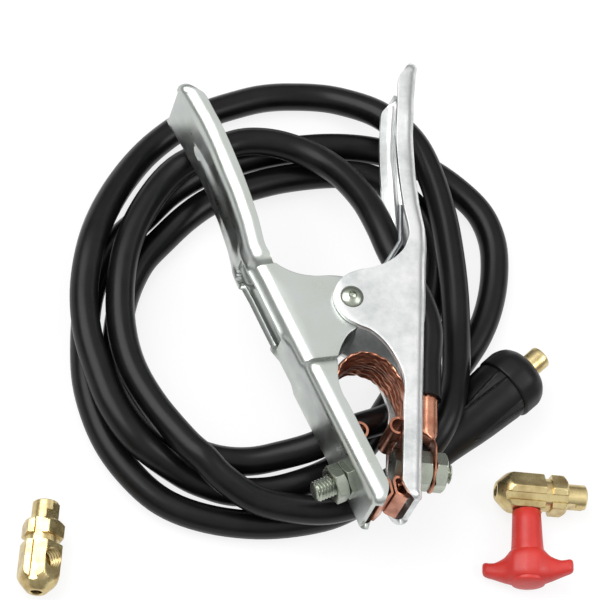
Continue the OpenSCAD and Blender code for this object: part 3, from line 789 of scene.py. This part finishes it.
makeBraid(braid)
print("stage: braid")

# cable lug

lug = {"palmW": 8.1, "barrelW": 6.2, "barrelTo": 28.5, "barrelR": 4,
       "palmHalf": 8, "palmT": 1}


def makeLug(g):
    rows = []
    for k in range(74):
        u = -g["palmHalf"] + (g["barrelTo"] + g["palmHalf"]) * k / 73
        narrow, rolled = ease((u - 6.5) / 6), ease((u - 10.5) / 5)
        a = g["palmHalf"] + (g["barrelR"] - g["palmHalf"]) * narrow
        if u < 0:
            a = math.sqrt(max(g["palmHalf"] ** 2 - u * u, 0.05))
        b = g["palmT"] / 2 + (g["barrelR"] - g["palmT"] / 2) * rolled
        centre = g["palmW"] + (g["barrelW"] - g["palmW"]) * rolled
        power = 5 - 2.9 * rolled
        row = []
        for j in range(40):
            t = 2 * math.pi * j / 40
            c, s = math.cos(t), math.sin(t)
            row.append((centre + b * math.copysign(abs(c) ** (2 / power), c), u,
                        a * math.copysign(abs(s) ** (2 / power), s)))
        rows.append(row)
    parts = Parts().add(rows, capStart=True, capEnd=True)
    obj = meshObject("cable_lug", parts.points, parts.faces, shoeCopper, place=atBolt(1))
    return finishObject(obj, "clamp", ["cable_lug"], angle=45)


makeLug(lug)


# twisted bare wires where the cover ends, at the barrel's mouth
def makeStrands():
    rows = []
    for k in range(15):
        u = 26.5 + 3.4 * k / 14
        row = []
        for j in range(72):
            t = 2 * math.pi * j / 72
            r = 3.3 + 0.25 * math.sin(11 * (t + u * 0.14))
            row.append((lug["barrelW"] + r * math.cos(t), u, r * math.sin(t)))
        rows.append(row)
    parts = Parts().add(rows, capStart=True, capEnd=True)
    obj = meshObject("lug_strands", parts.points, parts.faces, braidCopper, place=atBolt(1))
    return finishObject(obj, "clamp", ["lug_strands"], angle=60)


makeStrands()
print("stage: lug")

# plug

plug = {"from": (27.6, -50.2, 9.5), "dir": (0.85, 0.517, 0.1), "bootL": 41,
        "ribs": 5, "ribHigh": 0.65, "ribFrom": 16,
        # (radius, distance from the boot's rear) pairs
        "boot": [(5.6, 0.0), (7.6, 0.0), (8.3, 0.6), (8.5, 2), (8.9, 8), (9.6, 14), (10.4, 20),
                 (11, 26), (11.5, 33), (11.9, 38), (11.9, 41.2), (6.6, 41.2)],
        "collar": [(6.6, 41), (12, 41), (12.5, 41.1), (12.9, 41.5), (13, 42), (13, 47.2),
                   (12.9, 48), (12.6, 49), (12.2, 50), (11.5, 51.2), (10.5, 52.2),
                   (9.4, 53.1), (8.1, 53.7), (6.8, 54.2), (5.3, 54.2), (5.0, 53.6)],
        "pin": [(0.01, 26), (6.2, 26), (6.2, 51.9), (5, 52), (5, 54.2), (4.5, 54.3),
                (4.5, 55.4), (4.5, 55.6), (4.5, 58.4), (4.5, 58.6), (4.5, 60), (4.5, 61.4),
                (4.3, 61.8), (3.8, 62.1), (0.01, 62.1)],
        "notch": (55.5, 58.5, 3.4)}
plugX = unit(plug["dir"])
plugS = unit((-plugX.y, plugX.x, 0))
plugN = plugX.cross(plugS)
# local z runs along the plug, x and y across it
atPlug = axes(plug["from"], -plugN, plugS, plugX)


def makePlug(p):
    # raised double lines that start in a point and open towards the collar
    def ribbed(t, r, z):
        if not p["ribFrom"] < z < p["bootL"]:
            return r
        phase = ((t / (2 * math.pi) * p["ribs"] + 0.18) % 1 - 0.5) * 2 * math.pi / p["ribs"]
        apart = 0.17 * (z - p["ribFrom"]) / (p["bootL"] - p["ribFrom"])
        high = p["ribHigh"] * ease((z - p["ribFrom"]) / 3)
        return r + high * math.exp(-((abs(phase) - apart) / 0.028) ** 2)
    profile, sides = p["boot"], 288
    rows = turned(profile[:4], sides, ribbed)
    for (r1, z1), (r2, z2) in zip(profile[3:-1], profile[4:-1]):
        n = max(1, int((z2 - z1) / 1.2))
        rows += turned([(r1 + (r2 - r1) * k / n, z1 + (z2 - z1) * k / n)
                        for k in range(1, n + 1)], sides, ribbed)
    rows += turned([profile[-1]], sides)
    parts = Parts().add(rows, capStart=True)
    boot = meshObject("plug_boot", parts.points, parts.faces, bootRubber, place=atPlug)
    finishObject(boot, "clamp", ["plug_boot"], angle=35)

    # gently faceted round its side
    parts = Parts().add(turned(p["collar"], 96, lambda t, r, z: r * (1 - 0.006 * (
        1 - math.cos(12 * t)) * hump(z, 41.5, 52, 1.5))))
    collar = meshObject("plug_collar", parts.points, parts.faces, bootRubber, place=atPlug)
    finishObject(collar, "clamp", ["plug_collar"], bevelMm=0.2, angle=40)

    # pin with a milled bayonet notch and a broken edge
    def notched(t, r, z):
        low, high, floor = p["notch"]
        inNotch = low < z < high and abs((t - 1.1 + math.pi) % (2 * math.pi) - math.pi) < 0.7
        return min(r, floor) if inNotch else r
    parts = Parts().add(turned(p["pin"], 72, notched))
    pin = meshObject("plug_pin", parts.points, parts.faces, brassMetal, place=atPlug)
    finishObject(pin, "clamp", ["plug_pin"], bevelMm=0.15, angle=30)
    return boot, collar, pin


bootObj, collarObj, pinObj = makePlug(plug)
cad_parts["plug_sleeve"].data.materials.clear()
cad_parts["plug_sleeve"].data.materials.append(shoeCopper)
print("stage: plug")

# adapters

adapter = {"flatR": 7, "sideHole": 4.0, "sideAt": 12,
           "channelHalf": 1.6, "channelR": 6.1, "slotY": 3.9,
           "profile": [(2.1, 9), (2.1, 0.3), (2.4, 0), (3.3, 0), (3.6, 0.15), (6.3, 3),
                       (7.1, 4.1), (7.7, 5.2), (8, 6.4),
                       (8, 18), (7.8, 18.2), (6.3, 18.25), (6.3, 20.95), (7.8, 21), (8, 21.2),
                       (8, 25.8), (6.6, 27.15), (5, 27.2), (5, 31), (5, 34.4), (4.4, 35),
                       (0.01, 35)]}


# what milling leaves of a turned radius: six flats, a channel and the bayonet slots
def milledRadius(t, r, z):
    a = adapter
    if r < 3 or z > 34.99:
        return r
    if z < 27.18:
        flat = a["flatR"] / math.cos((t % (math.pi / 3)) - math.pi / 6)
        off = t - math.pi / 6
        if abs(r * math.sin(off)) < a["channelHalf"] and math.cos(off) > 0:
            flat = min(flat, a["channelR"] / math.cos(off))
        return min(r, flat)
    x = r * math.cos(t)
    if math.sin(t) > 0.3 and (z < 31 or (-3.3 < x < 1.1 and z > 30)):
        return min(r, a["slotY"] / math.sin(t))
    return r


def makeAdapter(name, tip, direction, out):
    direction, out = unit(direction), unit(out)
    place = axes(tip, out.cross(direction), out, direction)
    a = adapter
    profile = [a["profile"][0]]
    for (r1, z1), (r2, z2) in zip(a["profile"], a["profile"][1:]):
        n = max(1, int(abs(r2 - r1) / 0.3), int(abs(z2 - z1) / 1.2))
        n = 1 if z2 < 1 or z1 > 34 or abs(z2 - z1) < 0.3 else n
        profile += [(r1 + (r2 - r1) * k / n, z1 + (z2 - z1) * k / n) for k in range(1, n + 1)]
    # the slots end in steps
    at = max(i for i, (r, z) in enumerate(profile) if z < 31)
    profile[at + 1:at + 1] = [(5, 30.95)]
    parts = Parts().add(turned(profile, 288, milledRadius), capStart=True)
    obj = meshObject(name, parts.points, parts.faces, brassMetal, place=place)
    # threaded hole from the side, cut by a screw-shaped cutter
    hole = Parts().add([[(p[1], p[0], a["sideAt"] + p[2]) for p in row]
                        for row in threadRows(a["sideHole"] + 0.2, 1.2, 12.2, depth=0.55,
                                              sides=40)], capStart=True, capEnd=True)
    cutter = meshObject(name + "Cutter", hole.points, hole.faces, brassMetal, place=place)
    cut = obj.modifiers.new("sideHole", "BOOLEAN")
    cut.operation = "DIFFERENCE"
    cut.object = cutter
    cut.solver = "EXACT"
    bpy.context.view_layer.objects.active = obj
    obj.select_set(True)
    bpy.ops.object.modifier_apply(modifier="sideHole")
    obj.select_set(False)
    bpy.data.objects.remove(cutter)
    return finishObject(obj, "clamp", [name], angle=25)


plainDir = unit((0.2813, 0.9596, 0))
makeAdapter("adapter_plain", Vector((-123.4, -66.3, 7.95)) - 17.5 * plainDir, plainDir,
            (0.9596 * 0.629, -0.2813 * 0.629, 0.777))
clampDir = unit((0.9752, -0.2213, 0))
clampOut = unit((-0.2213, -0.9752, 0))
clampTip = Vector((51.6, -67.3, 8))
makeAdapter("adapter_clamp", clampTip, clampDir, clampOut)
print("stage: adapters")

# wing knob

knob = {"hubFrom": 24.35, "turn": 110,
        # (radius, distance from the adapter's axis) pairs
        "stem": [(4.05, 7.7), (5.0, 7.35), (5.4, 7.6), (5.6, 12), (5.9, 19), (6.05, 21.4),
                 (6.2, 23), (6, 27)],
        "lens": [(6.6, 35), (6.55, 36), (6.3, 36.4), (3.2, 36.9), (0.01, 37)],
        # one wing from the axis to its tip: how far out, lower and upper height, half thickness
        "wing": [(0, -1.8, 12, 7.4), (4.5, -1.6, 11.9, 6.7), (6.2, -0.8, 11.7, 5.7),
                 (7.5, 0.6, 11.4, 4.9), (9, 2, 11, 4.3), (12, 3.4, 9.9, 3.4),
                 (14, 3.5, 9.2, 3.0), (15.8, 3.2, 8.6, 2.6), (16.8, 3.6, 7.9, 1.8),
                 (17.1, 4.6, 7, 0.6)]}


# local z out along the stem; x and y across it
def makeKnob(k):
    place = axes(clampTip + 12 * clampDir, clampOut.cross(clampDir), -clampDir, clampOut)
    turn = math.radians(k["turn"])
    parts = Parts().add(turned(k["stem"], 72), capStart=True, capEnd=True)
    # shallow lens that ends the hub
    parts.add(turned(k["lens"], 72), capStart=True)
    half = smoothLine([(lat, low, high) for lat, low, high, thick in k["wing"]], 5)
    thick = smoothLine([(w[0], w[3], 0) for w in k["wing"]], 5)
    stations = list(zip(half, thick))
    stations = [(-1, *st) for st in reversed(stations[1:])] + [(1, *st) for st in stations]
    rows = []
    for side, (lat, low, high), (_, wide, _) in stations:
        power = 2.5 + 0.9 * ease(1 - lat / 9)
        row = []
        for j in range(48):
            t = 2 * math.pi * j / 48
            c, s = math.cos(t), math.sin(t)
            across = wide * math.copysign(abs(c) ** (2 / power), c)
            z = (low + high) / 2 + (high - low) / 2 * math.copysign(abs(s) ** (2 / power), s)
            x = side * lat
            row.append((x * math.cos(turn) - across * math.sin(turn),
                        x * math.sin(turn) + across * math.cos(turn), k["hubFrom"] + z))
        rows.append(row)
    parts.add(rows, capStart=True, capEnd=True)
    obj = meshObject("wing_knob", parts.points, parts.faces, knobNylon, place=place)
    finishObject(obj, "knob", ["wing_knob"], angle=60)
    return obj


makeKnob(knob)
print("stage: knob")

# floor and light

studio = {"floor": "#f4f4f5", "whiteShare": 0.82, "worldStrength": 0.9, "key": 30, "fill": 8}


def makeStudio(s):
    bpy.ops.mesh.primitive_plane_add(size=12, location=(0, 0, 0))
    floor = bpy.context.object
    floor.name = "studioFloor"
    material, tree, shader = newMaterial("studioFloor", Roughness=0.9,
                                         Base_Color=hexColour(s["floor"]))
    # camera and mirror rays see a floor that is mostly plain white; its shadow still shows a little
    path = addNode(tree, "ShaderNodeLightPath")
    seen = addNode(tree, "ShaderNodeMath", {"operation": "MAXIMUM"}, links={
        0: path.outputs["Is Camera Ray"], 1: path.outputs["Is Glossy Ray"]})
    share = addNode(tree, "ShaderNodeMath", {"operation": "MULTIPLY"}, {1: s["whiteShare"]},
                    {0: seen.outputs[0]})
    white = addNode(tree, "ShaderNodeEmission", inputs={"Color": grey(1), "Strength": 1.0})
    mix = addNode(tree, "ShaderNodeMixShader", links={0: share.outputs[0],
                  1: shader.outputs[0], 2: white.outputs[0]})
    tree.links.new(mix.outputs[0], tree.nodes["Material Output"].inputs["Surface"])
    floor.data.materials.append(material)

    world = bpy.data.worlds.new("studioWorld")
    bpy.context.scene.world = world
    world.use_nodes = True
    tree = world.node_tree
    sky = tree.nodes["Background"]
    coords = addNode(tree, "ShaderNodeTexCoord").outputs["Generated"]
    height = addNode(tree, "ShaderNodeSeparateXYZ", links={"Vector": coords}).outputs["Z"]
    # darker towards the horizon, so that bright metal has something to mirror
    tone = ramp(tree, height, [(0.0, grey(0.12)), (0.3, grey(0.3)), (0.7, grey(1.0))])
    tree.links.new(tone, sky.inputs["Color"])
    sky.inputs["Strength"].default_value = s["worldStrength"]
    lights = [("keyLight", (-0.9, 0.5, 1.5), 1.6, s["key"]),
              ("fillLight", (1.1, -0.4, 1.2), 0.8, s["fill"])]
    for name, at, size, power in lights:
        data = bpy.data.lights.new(name, "AREA")
        data.size = size
        data.energy = power
        obj = bpy.data.objects.new(name, data)
        obj.location = at
        obj.rotation_euler = (Vector((0, 0, 0.03)) - Vector(at)).to_track_quat(
            "-Z", "Y").to_euler()
        bpy.context.scene.collection.objects.link(obj)
    bpy.context.scene.view_settings.view_transform = "Standard"


makeStudio(studio)
print("stage: studio")
